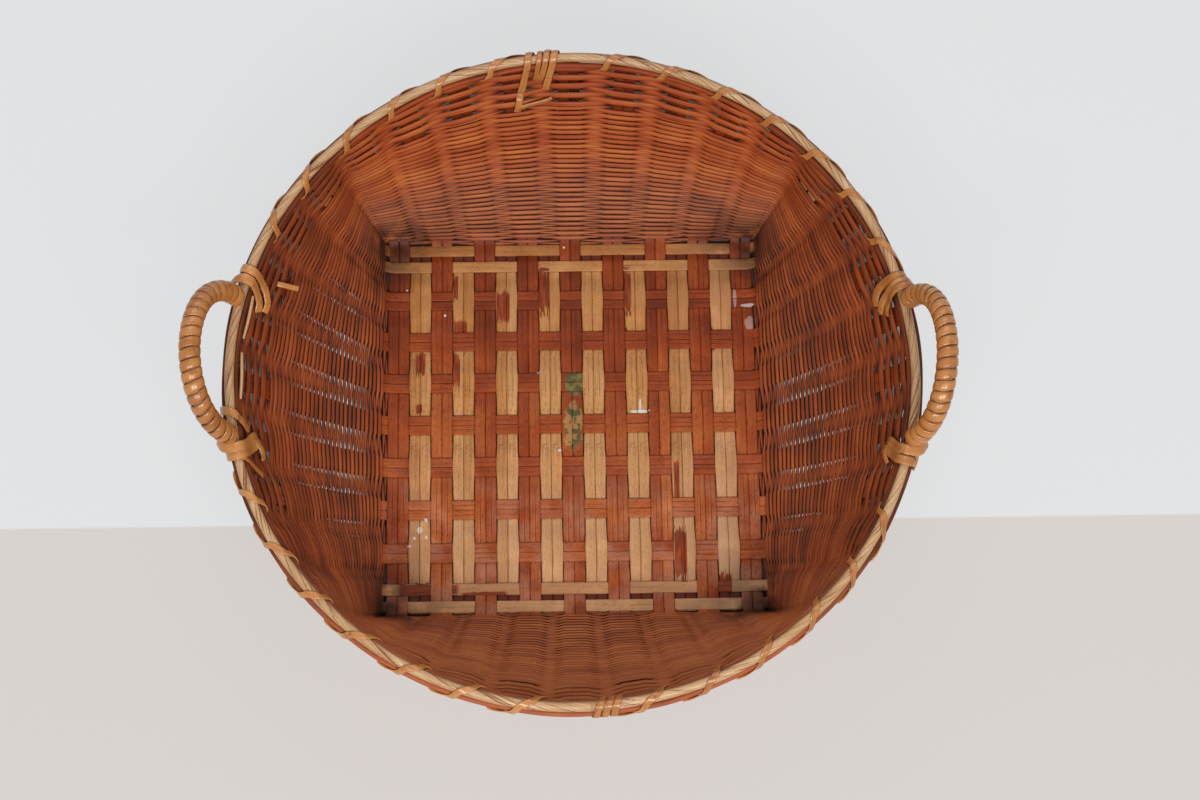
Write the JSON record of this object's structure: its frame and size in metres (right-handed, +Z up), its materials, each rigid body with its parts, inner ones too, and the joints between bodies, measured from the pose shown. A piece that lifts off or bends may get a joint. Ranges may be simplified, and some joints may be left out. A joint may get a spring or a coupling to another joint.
{
  "type": "two-handled wicker basket",
  "caption": "Open wicker basket with a plaited square base, woven walls that widen to a round bound rim, and a wrapped bail handle on each side.",
  "frame": {"origin": "middle of the base, on the surface that the basket stands on", "axes": "+Z up, +X towards the right handle, +Y towards the far side of the rim"},
  "size_m": [0.4827, 0.4496, 0.1718],
  "materials": {
    "stained_split_bamboo": "stained red-brown, worn satin",
    "pale_split_bamboo": "pale straw, oiled satin, stained and chipped in places",
    "fine_rattan_weave": "stained red-brown, satin",
    "coarse_rattan_rod": "stained red-brown, satin",
    "pale_rim_rod": "pale straw, worn satin",
    "stained_hoop": "stained red-brown, satin",
    "glossy_cane": "orange tan, glossy",
    "handle_core_rod": "plain rod, hidden by its wrap"
  },
  "bodies": {
    "root": {"coarse_weaver_1": "coarse_rattan_rod", "coarse_weaver_2": "coarse_rattan_rod", "coarse_weaver_3": "coarse_rattan_rod", "coarse_weaver_4": "coarse_rattan_rod", "coarse_weaver_5": "coarse_rattan_rod", "coarse_weaver_6": "coarse_rattan_rod", "coarse_weaver_7": "coarse_rattan_rod", "coarse_weaver_8": "coarse_rattan_rod", "coarse_weaver_9": "coarse_rattan_rod", "cross_stake_pair_1": "stained_split_bamboo", "cross_stake_pair_2": "stained_split_bamboo", "cross_stake_pair_3": "stained_split_bamboo", "cross_stake_pair_4": "stained_split_bamboo", "cross_stake_pair_5": "stained_split_bamboo", "cross_stake_pair_6": "stained_split_bamboo", "cross_stake_pair_7": "stained_split_bamboo", "dark_stake_pair_1": "stained_split_bamboo", "dark_stake_pair_2": "stained_split_bamboo", "dark_stake_pair_3": "stained_split_bamboo", "dark_stake_pair_4": "stained_split_bamboo", "dark_stake_pair_5": "stained_split_bamboo", "dark_stake_pair_6": "stained_split_bamboo", "dark_stake_pair_7": "stained_split_bamboo", "dark_stake_pair_8": "stained_split_bamboo", "dark_stake_pair_9": "stained_split_bamboo", "far_inner_border_strip": "pale_split_bamboo", "far_outer_border_strip": "pale_split_bamboo", "far_rim_binding": "glossy_cane", "fine_weave_inside": "fine_rattan_weave", "fine_weave_outside": "fine_rattan_weave", "left_handle_core": "handle_core_rod", "left_handle_far_lashing": "glossy_cane", "left_handle_near_lashing": "glossy_cane", "left_handle_wrap": "glossy_cane", "light_base_pair_1": "pale_split_bamboo", "light_base_pair_2": "pale_split_bamboo", "light_base_pair_3": "pale_split_bamboo", "light_base_pair_4": "pale_split_bamboo", "light_base_pair_5": "pale_split_bamboo", "light_base_pair_6": "pale_split_bamboo", "light_base_pair_7": "pale_split_bamboo", "light_base_pair_8": "pale_split_bamboo", "near_inner_border_strip": "pale_split_bamboo", "near_outer_border_strip": "pale_split_bamboo", "near_rim_binding": "glossy_cane", "right_handle_core": "handle_core_rod", "right_handle_far_lashing": "glossy_cane", "right_handle_near_lashing": "glossy_cane", "right_handle_wrap": "glossy_cane", "rim_inner_hoop": "stained_hoop", "rim_outer_hoop": "stained_hoop", "rim_rod": "pale_rim_rod", "rim_stitches": "glossy_cane"}
  },
  "joints": []
}
